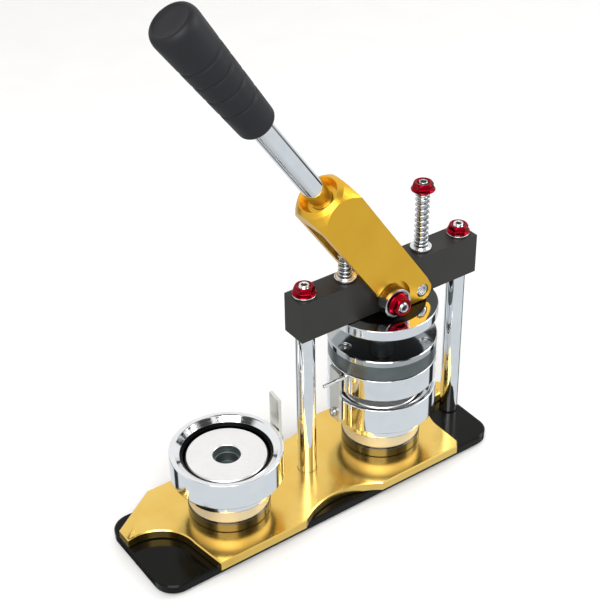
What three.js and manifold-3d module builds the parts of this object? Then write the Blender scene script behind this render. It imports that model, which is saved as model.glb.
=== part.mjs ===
// Bench press for button badges: a black base, a swivelling gold plate with two dies, a gantry on two
// pillars and a long lever that pushes the upper die down through two rollers.
// Millimetres, +Z up. X runs along the base towards the press, Y to the back, Z = 0 under the rubber feet.
// The left pillar stands on the origin's axis, and the plate swivels about it.
import * as THREE from 'three';
import { mergeVertices } from 'three/addons/utils/BufferGeometryUtils.js';
import Module from 'manifold-3d';

const wasm = await Module();
wasm.setup();

// ---- driving dimensions -------------------------------------------------------------------------------
const GAP = 0.3;                         // between pieces that touch
const FINE = 40;                         // steps round a large circle
const SMALL = 20;                        // steps round a pin, screw or rod

const base = { halfX: 145.15, halfY: 41.75, corner: 15, foot: 2.5, top: 10, edge: 1 };
const foot = { radius: 8, x: 127, y: 25, edge: 0.6 };
const headRecess = { radius: 6.9, inBase: 4.4, inPlate: 4.2 };     // for the screws from below
const plate = { halfX: 144.8, halfY: 46.8, bottom: base.top + GAP, top: 17.8, edge: 0.8 };
const plateCorner = { x: 109.3, cut: 5, slopeX: 108.5, slopeEndY: 22.5 };
const notch = { x: 138, y: -19, radius: 29.5 };
const scallop = { halfWidth: 34, depth: 11.7 };
const dimple = { radius: 1.1, depth: 0.6, places: [[-137.5, 14.5], [135.7, 14.5], [139.3, 14.5]] };
const press = { x: 67.75 };
const pillar = { radius: 7, rightX: 135.5, holeDepth: 15, studTop: 178.3 };
const beam = { left: -9.5, right: 145, halfY: 10.25, bottom: 138.85, top: 169.6 };
const stud = { radius: 4, hole: 4 + GAP };       // the 8 mm thread used all over the press
const socket = { across: 4, depth: 3 };          // the hexagon in each stud's end
const nut = { across: 13, flange: 8.6, rim: 0.9, skirt: 7.4, skirtTop: 2.5, height: 5.9 };
const crown = { foot: 9.5, shoulder: 7.9, top: 6.4, drop: 0.7 };   // the cone that trims a nut's corners
const lowScrew = { head: 6.4, headHeight: 3.6, socket: 5, socketDepth: 2.4 };
const washer = { radius: 8.4, thick: 1.3 };
const edge = 0.6;                        // chamfer of the larger turned pieces

const collar = { outer: 40, rim: 37, cone: 31, bore: 30.6, bottom: 48.6, coneEnd: 64.5, top: 69.6 };
const web = { bottom: 54, top: 58, hole: 11.2 };
const sleeve = { outer: 33, inner: 29.6, bottom: 38.5 };
const anvil = { radius: 28.94, hole: 9.65, top: 64.1, thick: 5, edge: 0.4 };
const dieBody = { outer: 29, inner: 26, top: 42.5, foot: 29.45, footTop: 26.2, floor: 22, post: 10.7 };
const diePocket = { radius: 8, floor: 51, thread: 40 };            // in the post, under the anvil's hole
const dieSpring = { mean: 20, wire: 1.1, turns: 4.5 };
const tab = { halfWidth: 5.5, thick: 2.5, bottom: 51, top: 96.6, slant: 1.8, screwZ: 58, stand: 0.4 };
const tabScrew = { start: 36, shank: 1.5, head: 3.4, shoulder: 1.4, dome: 2.4, headHeight: 2.2, hole: 1.8 };
const smallSocket = 2.5;                 // hexagon across the flats of the small screws

const disc = { radius: 39.5, bottom: 130.3, top: 138.3 };
const shaft = { radius: 9.86 };
const flange = { radius: 39.6, bottom: 107.8, top: 112.2, screwRadius: 33.3 };
const flangeScrewSize = { head: 4.8, shank: 2.3, cone: 2.1, sunk: 0.9, start: 101 };
const upperBody = { radius: 39.4, bottom: 96, spigot: 24 };
const upperRing = { outer: 39.6, inner: 31, bottom: 77.8, top: 95.4 };
const punch = { radius: 30.4, bottom: 83.5, floor: 9, edge: 0.8 };
const latch = { radius: 1.5, y: -7.5, z: 92, start: 34.2, tip: 10 };
const guide = { offset: 33.3, radius: 3.6, bottom: 132.3, top: 223.6, nutBottom: 217.2 };
const seat = { radius: 7.8, height: 3 };
const returnSpring = { mean: 4.6, wire: 0.65, turns: 12 };

const lever = { foot: [62.8, 170], tilt: THREE.MathUtils.degToRad(34.74) };
const fork = { half: 17.5, slot: 10.75, slotEnd: 70.5, top: 88.6, rim: 14.6, rodFloor: 74.7, heel: 6 };
const dome = { radius: 30, low: -60, shoulder: [[30, 66], [24.75, 74.5], [21, 81.4], [17.5, 86]] };
const cup = { rim: 14, floor: 11, depth: 6 };
const pivot = { x: 89.3, z: 147.3, boss: 8, head: 4.8, headDepth: 3.2, socketDepth: 2.2 };
const roller = { x: 62.8, z: 149.8, radius: 11, near: 14.6, far: 23.3 };
const rollerPocket = { radius: 15, floor: 14, under: 10.4 };
const race = { inner: 6, seal: [6.6, 8.8], outer: 9.2, depth: 0.5 };
const axle = { start: fork.slot + 0.2, end: 30.4 };
const rod = { radius: 7.5, start: 75, end: 200 };
const grip = { start: 165.5, end: 264, mouth: 9.4, waist: 13.1, barrel: 16.3, full: 256 };
const groove = { places: [191.5, 206, 220, 233.5], halfWidth: 1, depth: 1 };

// ---- surfaces -----------------------------------------------------------------------------------------
const metal = (color, roughness) => new THREE.MeshStandardMaterial({ color, roughness, metalness: 1 });
const plain = (color, roughness) => new THREE.MeshStandardMaterial({ color, roughness, metalness: 0 });
const look = {
  gold: metal('#e3b650', 0.25),
  red: metal('#b01026', 0.3),
  chrome: metal('#d8dcde', 0.12),
  satin: metal('#9a9c9c', 0.35),
  wire: metal('#b4b8ba', 0.25),
  blackGloss: plain('#12120f', 0.2),
  blackMatte: plain('#454540', 0.55),
  plastic: plain('#2c2c30', 0.6),
  rubber: plain('#1a1a1a', 0.85),
};

// ---- shape helpers ------------------------------------------------------------------------------------
// A profile of [radius, height] points turned about Z.
function turned(profile, steps = FINE) {
  const points = profile.map(([radius, height]) => new THREE.Vector2(radius, height));
  return new THREE.LatheGeometry(points, steps).rotateX(Math.PI / 2);
}

const cylinder = (radius, low, high, steps = SMALL) =>
  turned([[0, low], [radius, low], [radius, high], [0, high]], steps);

const tube = (inner, outer, low, high, steps = FINE) =>
  turned([[inner, low], [outer, low], [outer, high], [inner, high], [inner, low]], steps);

const block = (low, high) => new THREE.BoxGeometry(high[0] - low[0], high[1] - low[1], high[2] - low[2])
  .translate((low[0] + high[0]) / 2, (low[1] + high[1]) / 2, (low[2] + high[2]) / 2);

// An outline in the XY plane given thickness in Z, with an optional chamfer round its edges.
function slab(outline, low, high, chamfer = 0) {
  const settings = { depth: high - low - 2 * chamfer, curveSegments: 9, bevelEnabled: chamfer > 0 };
  Object.assign(settings, { bevelThickness: chamfer, bevelSize: chamfer, bevelOffset: -chamfer });
  settings.bevelSegments = 1;
  return new THREE.ExtrudeGeometry(outline, settings).translate(0, 0, low + chamfer);
}

function solidOf(geometry) {
  const bare = geometry.clone();
  bare.deleteAttribute('normal');
  bare.deleteAttribute('uv');
  const merged = mergeVertices(bare, 1e-4);
  const vertProperties = new Float32Array(merged.attributes.position.array);
  const triVerts = new Uint32Array(merged.index.array);
  return new wasm.Manifold(new wasm.Mesh({ numProp: 3, vertProperties, triVerts }));
}

function geometryOf(solid) {
  const mesh = solid.getMesh();
  const geometry = new THREE.BufferGeometry();
  geometry.setAttribute('position', new THREE.BufferAttribute(new Float32Array(mesh.vertProperties), 3));
  geometry.setIndex(new THREE.BufferAttribute(new Uint32Array(mesh.triVerts), 1));
  const flat = geometry.toNonIndexed();
  flat.computeVertexNormals();
  return flat;
}

const cut = (body, ...tools) =>
  geometryOf(tools.reduce((solid, tool) => solid.subtract(solidOf(tool)), solidOf(body)));

const common = (body, other) => geometryOf(solidOf(body).intersect(solidOf(other)));

const joined = (body, other) => geometryOf(solidOf(body).add(solidOf(other)));

// Copies of a tool that stand at several places in the XY plane.
const at = (geometry, ...places) => places.map(([x, y]) => geometry.clone().translate(x, y, 0));

// Lays a piece made about Z along +Y, low end first.
const alongY = (geometry) => geometry.rotateX(-Math.PI / 2);

function mesh(name, geometry, material) {
  const piece = new THREE.Mesh(geometry, material);
  piece.name = name;
  return piece;
}

const hexSocket = (across, low, high) => cylinder(across / Math.sqrt(3), low, high, 6);

// ---- fasteners ----------------------------------------------------------------------------------------
// A hexagon on a round flange, standing on Z = 0.
function flangeNut() {
  const { across, flange: rimRadius, rim, skirt, skirtTop, height } = nut;
  const foot = 0.2;
  const hexagon = cylinder(across / Math.sqrt(3), foot, height, 6);
  const cone = turned([[0, foot], [crown.foot, foot], [crown.shoulder, height - crown.drop],
    [crown.top, height], [0, height]], SMALL);
  const disk = turned([[0, 0], [rimRadius, 0], [rimRadius, rim], [skirt, skirtTop], [0, skirtTop]], SMALL);
  return cut(joined(common(hexagon, cone), disk), cylinder(stud.hole, -1, height + 1));
}

// A socket screw that points up from beneath: head from `low`, thread end at `high`.
function screwFromBelow(low, high) {
  const { head, headHeight, socket: across, socketDepth } = lowScrew;
  const body = turned([[0, low], [head, low], [head, low + headHeight], [stud.radius, low + headHeight],
    [stud.radius, high], [0, high]], SMALL);
  return cut(body, hexSocket(across, low - 1, low + socketDepth));
}

// The round end of a stud, with its chamfer.
const studEnd = (radius, top) => [[radius, top - 0.5], [radius - 0.5, top], [0, top]];

const endSocket = (top) => hexSocket(socket.across, top - socket.depth, top + 1);

// ---- base ---------------------------------------------------------------------------------------------
function roundedRectangle(halfX, halfY, corner) {
  const outline = new THREE.Shape();
  outline.absarc(halfX - corner, halfY - corner, corner, 0, Math.PI / 2);
  outline.absarc(corner - halfX, halfY - corner, corner, Math.PI / 2, Math.PI);
  outline.absarc(corner - halfX, corner - halfY, corner, Math.PI, 1.5 * Math.PI);
  outline.absarc(halfX - corner, corner - halfY, corner, 1.5 * Math.PI, 2 * Math.PI);
  return outline;
}

function basePlate() {
  const body = slab(roundedRectangle(base.halfX, base.halfY, base.corner), base.foot, base.top, base.edge);
  const feet = [[0, 0], [pillar.rightX, 0]];
  const shank = at(cylinder(stud.hole, 0, base.top + 1), ...feet);
  const recess = at(cylinder(headRecess.radius, 0, base.foot + headRecess.inBase), ...feet);
  return cut(body, ...shank, ...recess);
}

function rubberFoot() {
  const { radius, edge: chamfer } = foot;
  const top = base.foot - GAP;
  return turned([[0, 0], [radius - chamfer, 0], [radius, chamfer], [radius, top], [0, top]], SMALL);
}

// ---- swivel plate -------------------------------------------------------------------------------------
// The outline of one half, mirrored to the other: scallop, notch that meets the right pillar, end tip.
function plateOutline() {
  const { halfX, halfY } = plate;
  const { x: cornerX, cut: cornerCut, slopeX, slopeEndY } = plateCorner;
  const rise = halfY - scallop.depth;
  const sweep = (scallop.halfWidth ** 2 + scallop.depth ** 2) / (2 * scallop.depth);
  const spread = Math.asin(scallop.halfWidth / sweep);
  const tipAngle = Math.acos((halfX - notch.x) / notch.radius);
  const outline = new THREE.Shape();
  outline.moveTo(scallop.halfWidth, -halfY);
  outline.lineTo(cornerX - cornerCut, -halfY);
  outline.lineTo(notch.x - notch.radius, cornerCut - halfY);
  outline.absarc(notch.x, notch.y, notch.radius, Math.PI, tipAngle, true);
  outline.lineTo(halfX, slopeEndY);
  outline.lineTo(slopeX, halfY);
  outline.absarc(0, rise + sweep, sweep, spread - Math.PI / 2, -spread - Math.PI / 2, true);
  outline.lineTo(-slopeX, halfY);
  outline.lineTo(-halfX, slopeEndY);
  outline.absarc(-notch.x, notch.y, notch.radius, Math.PI - tipAngle, 0, true);
  outline.lineTo(cornerCut - cornerX, -halfY);
  outline.absarc(0, -rise - sweep, sweep, Math.PI / 2 + spread, Math.PI / 2 - spread, true);
  return outline;
}

function swivelPlate() {
  const body = slab(plateOutline(), plate.bottom, plate.top, plate.edge);
  const middle = cylinder(pillar.radius + GAP, 0, plate.top + 1, 32);
  const stations = [[press.x, 0], [-press.x, 0]];
  const shanks = at(cylinder(stud.hole, 0, plate.top + 1), ...stations);
  const recesses = at(cylinder(headRecess.radius, 0, plate.bottom + headRecess.inPlate), ...stations);
  const marks = at(cylinder(dimple.radius, plate.top - dimple.depth, plate.top + 1, 12), ...dimple.places);
  return cut(body, middle, ...shanks, ...recesses, ...marks);
}

// ---- one die station, made about its own axis ---------------------------------------------------------
function dieBodyShape() {
  const { outer, inner, top, foot: footRadius, footTop, floor, post } = dieBody;
  const low = plate.top + GAP;
  const shelf = anvil.top - anvil.thick - GAP;
  const body = turned([[0, low], [footRadius, low], [footRadius, footTop], [outer, footTop + 0.4],
    [outer, top], [inner, top], [inner, floor], [post, floor], [post, shelf], [0, shelf]]);
  const pocket = cylinder(diePocket.radius, diePocket.floor, shelf + 1);
  return cut(body, cylinder(stud.hole, 0, diePocket.thread), pocket);
}

function collarShape(towardsX) {
  const { outer, rim, cone, bore, bottom, coneEnd, top } = collar;
  const body = turned([[web.hole, web.bottom], [sleeve.inner, web.bottom], [sleeve.inner, sleeve.bottom],
    [sleeve.outer, sleeve.bottom], [sleeve.outer, bottom], [outer - edge, bottom], [outer, bottom + edge],
    [outer, top - edge], [outer - edge, top], [rim, top], [cone, coneEnd], [bore, coneEnd], [bore, web.top],
    [web.hole, web.top], [web.hole, web.bottom]]);
  const screwHole = alongY(cylinder(tabScrew.hole, tabScrew.start - 0.5, outer + 2, 12));
  return cut(body, screwHole.rotateZ(-towardsX * Math.PI / 2).translate(0, 0, tab.screwZ));
}

function anvilShape() {
  const { radius, hole, top, thick, edge: chamfer } = anvil;
  const low = top - thick;
  return turned([[hole, low], [radius - chamfer, low], [radius, low + chamfer], [radius, top - chamfer],
    [radius - chamfer, top], [hole + chamfer, top], [hole, top - chamfer], [hole, low]]);
}

// The strip beside a collar, its top cut aslant, with the hole for its screw.
function tabShape(towardsX) {
  const { halfWidth, bottom, top, slant } = tab;
  const outline = new THREE.Shape();
  outline.moveTo(-halfWidth, bottom);
  outline.lineTo(halfWidth, bottom);
  outline.lineTo(halfWidth, top);
  outline.lineTo(-halfWidth, top - slant);
  const strip = slab(outline, 0, tab.thick);
  strip.applyMatrix4(new THREE.Matrix4().set(0, 0, 1, 0, 1, 0, 0, 0, 0, 1, 0, 0, 0, 0, 0, 1));
  const screwHole = alongY(cylinder(tabScrew.hole, -1, tab.thick + 1, 12)).rotateZ(-Math.PI / 2);
  const inner = collar.outer + tab.stand;
  const piece = cut(strip, screwHole.translate(0, 0, tab.screwZ));
  return towardsX > 0 ? piece.translate(inner, 0, 0) : piece.translate(-inner - tab.thick, 0, 0);
}

function tabScrewShape(towardsX) {
  const { start, shank, head, shoulder, dome: domeRadius, headHeight } = tabScrew;
  const seatAt = collar.outer + tab.stand + tab.thick + GAP;
  const end = seatAt + headHeight;
  const body = turned([[0, start], [shank, start], [shank, seatAt], [head, seatAt], [head, seatAt + shoulder],
    [domeRadius, end], [0, end]], SMALL);
  const screw = cut(body, hexSocket(smallSocket, seatAt + 1, end + 1));
  return alongY(screw).rotateZ(-towardsX * Math.PI / 2).translate(0, 0, tab.screwZ);
}

class Helix extends THREE.Curve {
  constructor(radius, low, high, turns) {
    super();
    Object.assign(this, { radius, low, high, turns });
  }

  getPoint(t, target = new THREE.Vector3()) {
    const angle = 2 * Math.PI * this.turns * t;
    const height = THREE.MathUtils.lerp(this.low, this.high, t);
    return target.set(this.radius * Math.cos(angle), this.radius * Math.sin(angle), height);
  }
}

function coil({ mean, wire, turns }, low, high, stepsPerTurn) {
  const extrudePath = new Helix(mean, low + wire, high - wire, turns);
  const section = new THREE.Shape(new THREE.EllipseCurve(0, 0, wire, wire).getPoints(5).slice(0, 5));
  const steps = Math.round(turns * stepsPerTurn);
  return new THREE.ExtrudeGeometry(section, { steps, extrudePath, curveSegments: 1 });
}

function dieStation(side) {
  const station = new THREE.Group();
  const towardsPillar = side === 'left' ? 1 : -1;
  station.position.x = side === 'left' ? -press.x : press.x;
  station.add(
    mesh(`${side}_die_body`, dieBodyShape(), look.chrome),
    mesh(`${side}_die_screw`, screwFromBelow(plate.bottom + GAP, 34), look.satin),
    mesh(`${side}_collar`, collarShape(towardsPillar), look.chrome),
    mesh(`${side}_anvil`, anvilShape(), look.satin),
    mesh(`${side}_die_spring`, coil(dieSpring, dieBody.floor + GAP, web.bottom - GAP, 14), look.wire),
    mesh(`${side}_tab`, tabShape(towardsPillar), look.chrome),
    mesh(`${side}_tab_screw`, tabScrewShape(towardsPillar), look.satin),
  );
  return station;
}

// ---- gantry -------------------------------------------------------------------------------------------
// A round post with the 8 mm stud that passes through the beam, open at its foot for the screw from below.
function pillarShape() {
  const top = beam.bottom - GAP;
  const low = base.top + GAP;
  const post = turned([[0, low], [pillar.radius, low], [pillar.radius, top], [stud.radius, top],
    ...studEnd(stud.radius, pillar.studTop)], 32);
  return cut(post, cylinder(stud.hole, 0, low + pillar.holeDepth), endSocket(pillar.studTop));
}

function crossbeam() {
  const body = block([beam.left, -beam.halfY, beam.bottom], [beam.right, beam.halfY, beam.top]);
  const columns = [0, pillar.rightX, press.x - guide.offset, press.x + guide.offset].map((x) => [x, 0]);
  const holes = at(cylinder(stud.hole, beam.bottom - 1, beam.top + 1), ...columns);
  const cross = alongY(cylinder(stud.hole, -beam.halfY - 1, beam.halfY + 1)).translate(pivot.x, 0, pivot.z);
  return cut(body, ...holes, cross);
}

function gantry() {
  const group = new THREE.Group();
  const washerTop = beam.top + GAP + washer.thick;
  const ring = tube(stud.hole, washer.radius, beam.top + GAP, washerTop, SMALL);
  const screw = screwFromBelow(base.foot + GAP, base.top + pillar.holeDepth - 2);
  for (const [side, x] of [['left', 0], ['right', pillar.rightX]]) {
    const column = new THREE.Group();
    column.position.x = x;
    column.add(
      mesh(`${side}_pillar`, pillarShape(), look.chrome),
      mesh(`${side}_pillar_screw`, screw, look.satin),
      mesh(`${side}_beam_washer`, ring, look.chrome),
      mesh(`${side}_beam_nut`, flangeNut().translate(0, 0, washerTop + GAP), look.red),
    );
    group.add(column);
  }
  group.add(mesh('crossbeam', crossbeam(), look.blackMatte));
  return group;
}

// ---- moving head, made about the press axis -----------------------------------------------------------
const guideSides = [['left', -guide.offset], ['right', guide.offset]];

function pressDisc() {
  const { radius, bottom, top } = disc;
  const body = turned([[0, bottom], [radius - edge, bottom], [radius, bottom + edge], [radius, top - edge],
    [radius - edge, top], [0, top]]);
  const socketHole = cylinder(guide.radius + GAP, guide.bottom - GAP, top + 1);
  return cut(body, ...at(socketHole, ...guideSides.map(([, x]) => [x, 0])));
}

const flangeScrewPlaces = [60, 180, 300].map((degrees) => {
  const angle = THREE.MathUtils.degToRad(degrees);
  return [flange.screwRadius * Math.cos(angle), flange.screwRadius * Math.sin(angle)];
});

// A countersunk outline with its head's top at `high`, all of it `slack` smaller than the hole.
function countersunk(slack, low, high) {
  const shank = flangeScrewSize.shank - slack;
  const head = flangeScrewSize.head - slack;
  const coneFoot = high - flangeScrewSize.cone - GAP;
  return [[0, low], [shank, low], [shank, coneFoot], [head, high - GAP], [head, high]];
}

function upperFlange() {
  const { radius, bottom, top } = flange;
  const body = turned([[0, bottom], [radius, bottom], [radius, top - edge], [radius - edge, top], [0, top]]);
  const { head, sunk } = flangeScrewSize;
  const hole = countersunk(0, bottom - 1, top - sunk).concat([[head, top + 1], [0, top + 1]]);
  return cut(body, ...at(turned(hole, SMALL), ...flangeScrewPlaces));
}

function flangeScrew() {
  const top = flange.top - flangeScrewSize.sunk - 0.1;
  const screw = countersunk(GAP, flangeScrewSize.start, top).concat([[0, top]]);
  return cut(turned(screw, SMALL), hexSocket(smallSocket, top - 1.5, top + 1));
}

function upperDieBody() {
  const { radius, bottom, spigot } = upperBody;
  const top = flange.bottom - GAP;
  const spigotLow = punch.bottom + punch.floor;
  const body = turned([[0, spigotLow], [spigot, spigotLow], [spigot, bottom], [radius, bottom], [radius, top],
    [0, top]]);
  const thread = cylinder(flangeScrewSize.shank, flangeScrewSize.start - 0.5, top + 1, 16);
  return cut(body, ...at(thread, ...flangeScrewPlaces));
}

function upperRingShape() {
  const { outer, inner, bottom, top } = upperRing;
  const body = turned([[inner, bottom], [outer - edge, bottom], [outer, bottom + edge], [outer, top - edge],
    [outer - edge, top], [inner, top], [inner, bottom]]);
  const pinHole = alongY(cylinder(latch.radius + GAP, latch.start - 1, outer + 2, 12)).rotateZ(Math.PI / 2);
  return cut(body, pinHole.translate(0, latch.y, latch.z));
}

// A cup-shaped punch whose floor presses the badge, open at the top around the spigot that carries it.
function punchShape() {
  const { radius, bottom, edge: chamfer } = punch;
  const wallTop = upperRing.top - 0.2;
  const inner = upperBody.spigot + GAP;
  const floor = bottom + punch.floor - GAP;
  return turned([[0, bottom], [radius - chamfer, bottom], [radius, bottom + chamfer], [radius, wallTop],
    [inner, wallTop], [inner, floor], [0, floor]]);
}

function latchPin() {
  const { radius, start, tip } = latch;
  const end = press.x - tip;
  const pin = turned([[0, start], [radius, start], ...studEnd(radius, end)], 16);
  return alongY(pin).rotateZ(Math.PI / 2).translate(0, latch.y, latch.z);
}

function guideRod() {
  const { radius, bottom, top } = guide;
  return cut(turned([[0, bottom], [radius, bottom], ...studEnd(radius, top)], SMALL), endSocket(top));
}

function movingHead() {
  const head = new THREE.Group();
  head.position.x = press.x;
  head.add(
    mesh('press_disc', pressDisc(), look.chrome),
    mesh('press_shaft', cylinder(shaft.radius, flange.top + GAP, disc.bottom - GAP, 32), look.chrome),
    mesh('upper_flange', upperFlange(), look.satin),
    mesh('upper_die_body', upperDieBody(), look.satin),
    mesh('upper_die_ring', upperRingShape(), look.chrome),
    mesh('upper_die_punch', punchShape(), look.satin),
    mesh('latch_pin', latchPin(), look.chrome),
  );
  flangeScrewPlaces.forEach(([x, y], index) => {
    head.add(mesh(`flange_screw_${index + 1}`, flangeScrew().translate(x, y, 0), look.satin));
  });
  const springFoot = beam.top + GAP + seat.height;
  const seatRing = tube(stud.hole, seat.radius, beam.top + GAP, springFoot, SMALL);
  const spring = coil(returnSpring, springFoot + GAP, guide.nutBottom - GAP, 11);
  for (const [side, x] of guideSides) {
    const column = new THREE.Group();
    column.position.x = x;
    column.add(
      mesh(`${side}_guide_rod`, guideRod(), look.chrome),
      mesh(`${side}_guide_nut`, flangeNut().translate(0, 0, guide.nutBottom), look.red),
      mesh(`${side}_spring_seat`, seatRing, look.chrome),
      mesh(`${side}_return_spring`, spring, look.wire),
    );
    head.add(column);
  }
  return head;
}

// ---- lever, made upright about its own axis and then tilted -------------------------------------------
// A point of the press's XZ plane in the lever's own frame, as [across, along].
function inLever(x, z) {
  const dx = x - lever.foot[0];
  const dz = z - lever.foot[1];
  const cos = Math.cos(lever.tilt);
  const sin = Math.sin(lever.tilt);
  return [dx * cos + dz * sin, dz * cos - dx * sin];
}

const pivotAt = inLever(pivot.x, pivot.z);
const rollerAt = inLever(roller.x, roller.z);

// The side view of the fork: a square bar whose foot runs under the roller to the rounded pivot boss.
function forkOutline() {
  const { half, top } = fork;
  const drop = Math.sqrt(rollerPocket.under ** 2 - (half + rollerAt[0]) ** 2);
  const outline = new THREE.Shape();
  outline.moveTo(half, top);
  outline.lineTo(-half, top);
  outline.lineTo(-half, rollerAt[1] - drop);
  outline.absarc(...pivotAt, pivot.boss, -Math.PI / 2 - lever.tilt, 0);
  outline.lineTo(half, pivotAt[1] + fork.heel);
  return outline;
}

function leverFork() {
  const { half, slot, slotEnd, top, rim, rodFloor } = fork;
  const bar = slab(forkOutline(), -half, half).applyMatrix4(
    new THREE.Matrix4().set(1, 0, 0, 0, 0, 0, -1, 0, 0, 1, 0, 0, 0, 0, 0, 1));
  const shoulders = turned([[0, dome.low], [dome.radius, dome.low], ...dome.shoulder, [rim, top], [0, top]]);
  const wide = half + 1;
  const headSeat = GAP - half + pivot.headDepth;
  const tools = [
    block([2 * dome.low, -slot, dome.low], [-2 * dome.low, slot, slotEnd]),
    turned([[0, rodFloor], [rod.radius + GAP, rodFloor], [rod.radius + GAP, top - cup.depth],
      [cup.floor, top - cup.depth], [cup.rim, top + 0.01], [0, top + 0.01]], 32),
    alongY(cylinder(stud.hole, -wide, wide)).translate(pivotAt[0], 0, pivotAt[1]),
    alongY(cylinder(pivot.head + GAP, -wide, headSeat)).translate(pivotAt[0], 0, pivotAt[1]),
    alongY(cylinder(stud.hole, -wide, wide)).translate(rollerAt[0], 0, rollerAt[1]),
  ];
  for (const face of [-1, 1]) {
    const [near, far] = [face * rollerPocket.floor, face * wide].sort((a, b) => a - b);
    tools.push(alongY(cylinder(rollerPocket.radius, near, far, 30)).translate(rollerAt[0], 0, rollerAt[1]));
  }
  return cut(common(bar, shoulders), ...tools);
}

function pivotPin() {
  const face = fork.half - 0.2;
  const shank = stud.radius - 0.1;
  const { head, headDepth, socketDepth } = pivot;
  const body = turned([[0, -face], [head, -face], [head, headDepth - face], [shank, headDepth - face],
    [shank, face], [0, face]], SMALL);
  const pin = cut(body, hexSocket(socket.across, -face - 1, socketDepth - face));
  return alongY(pin).translate(pivotAt[0], 0, pivotAt[1]);
}

// A ball bearing's outer shape: a tyre with a shallow recess in each face.
function rollerShape() {
  const { near, far, radius } = roller;
  const { inner, seal, outer, depth } = race;
  const chamfer = 0.4;
  return turned([[stud.hole, near], [inner, near], [seal[0], near + depth], [seal[1], near + depth],
    [outer, near], [radius - chamfer, near], [radius, near + chamfer], [radius, far - chamfer],
    [radius - chamfer, far], [outer, far], [seal[1], far - depth], [seal[0], far - depth], [inner, far], [stud.hole, far],
    [stud.hole, near]], 24);
}

function rollerBolt() {
  const { start, end } = axle;
  return cut(turned([[0, start], [stud.radius, start], ...studEnd(stud.radius, end)], SMALL), endSocket(end));
}

// The radius grows evenly from the waist to the full barrel, and each groove is a V cut into it.
function gripProfile() {
  const { start, end, mouth, waist, barrel, full } = grip;
  const waistAt = start + 4.5;
  const swell = (along) => THREE.MathUtils.mapLinear(along, waistAt, full, waist, barrel);
  const outer = [[mouth, start], [waist - 1.2, start + 1.4], [waist, waistAt]];
  for (const along of groove.places) {
    const [low, high] = [along - groove.halfWidth, along + groove.halfWidth];
    outer.push([swell(low), low], [swell(along) - groove.depth, along], [swell(high), high]);
  }
  const roundedEnd = [[barrel - 0.4, end - 4.4], [barrel - 2, end - 1.5], [barrel - 4, end - 0.4], [0, end]];
  return outer.concat([[barrel, full]], roundedEnd);
}

function gripShape() {
  const bore = rod.radius + GAP;
  return turned([[0, rod.end + GAP], [bore, rod.end + GAP], [bore, grip.start]].concat(gripProfile()), 24);
}

function leverAssembly() {
  const group = new THREE.Group();
  group.position.set(lever.foot[0], 0, lever.foot[1]);
  group.rotation.y = -lever.tilt;
  group.add(
    mesh('lever_fork', leverFork(), look.gold),
    mesh('lever_rod', cylinder(rod.radius, rod.start, rod.end, 32), look.chrome),
    mesh('lever_grip', gripShape(), look.plastic),
    mesh('lever_pivot_pin', pivotPin(), look.satin),
  );
  for (const [side, turn] of [['front', Math.PI], ['back', 0]]) {
    const cheek = new THREE.Group();
    cheek.position.set(rollerAt[0], 0, rollerAt[1]);
    cheek.rotation.z = turn;
    cheek.add(
      mesh(`${side}_roller`, alongY(rollerShape()), look.chrome),
      mesh(`${side}_roller_bolt`, alongY(rollerBolt()), look.satin),
      mesh(`${side}_roller_nut`, alongY(flangeNut().translate(0, 0, roller.far + GAP)), look.red),
    );
    group.add(cheek);
  }
  return group;
}

// ---- the whole press ----------------------------------------------------------------------------------
const badgePress = new THREE.Group();
badgePress.add(mesh('base_plate', basePlate(), look.blackGloss));
for (const [depth, signY] of [['front', -1], ['back', 1]]) {
  for (const [side, signX] of [['left', -1], ['right', 1]]) {
    const piece = mesh(`${depth}_${side}_foot`, rubberFoot(), look.rubber);
    piece.position.set(signX * foot.x, signY * foot.y, 0);
    badgePress.add(piece);
  }
}
badgePress.add(mesh('swivel_plate', swivelPlate(), look.gold));
badgePress.add(dieStation('left'), dieStation('right'), gantry(), movingHead(), leverAssembly());

export default badgePress;
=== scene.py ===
import bmesh
import bpy
import numpy as np
from mathutils import Matrix, Vector


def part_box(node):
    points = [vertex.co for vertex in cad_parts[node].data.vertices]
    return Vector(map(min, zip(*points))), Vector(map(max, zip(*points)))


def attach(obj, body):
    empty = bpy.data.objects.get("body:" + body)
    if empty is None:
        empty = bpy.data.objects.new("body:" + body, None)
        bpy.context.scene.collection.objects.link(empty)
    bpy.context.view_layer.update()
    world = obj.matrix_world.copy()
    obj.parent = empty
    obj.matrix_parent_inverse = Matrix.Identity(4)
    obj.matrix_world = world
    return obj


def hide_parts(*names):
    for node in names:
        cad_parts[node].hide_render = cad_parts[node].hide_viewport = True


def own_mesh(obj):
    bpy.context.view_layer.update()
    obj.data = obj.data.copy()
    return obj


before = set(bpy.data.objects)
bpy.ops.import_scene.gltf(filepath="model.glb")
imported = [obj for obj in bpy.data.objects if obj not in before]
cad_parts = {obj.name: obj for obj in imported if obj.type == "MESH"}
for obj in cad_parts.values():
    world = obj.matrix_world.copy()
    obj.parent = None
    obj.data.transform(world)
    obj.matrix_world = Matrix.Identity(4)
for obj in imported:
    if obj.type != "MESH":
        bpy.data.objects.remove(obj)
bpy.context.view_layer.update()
mm = 0.001  # sizes below are in millimetres, and meshes are written in metres
noiseLow, noiseHigh = 0.3, 0.7  # the span that most of a noise pattern's values lie in


def boxOf(node):
    low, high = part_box(node)
    return np.array(low) / mm, np.array(high) / mm


def centreOf(node):
    low, high = boxOf(node)
    return (low + high) / 2


def sizeOf(node):
    low, high = boxOf(node)
    return high - low


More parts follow.
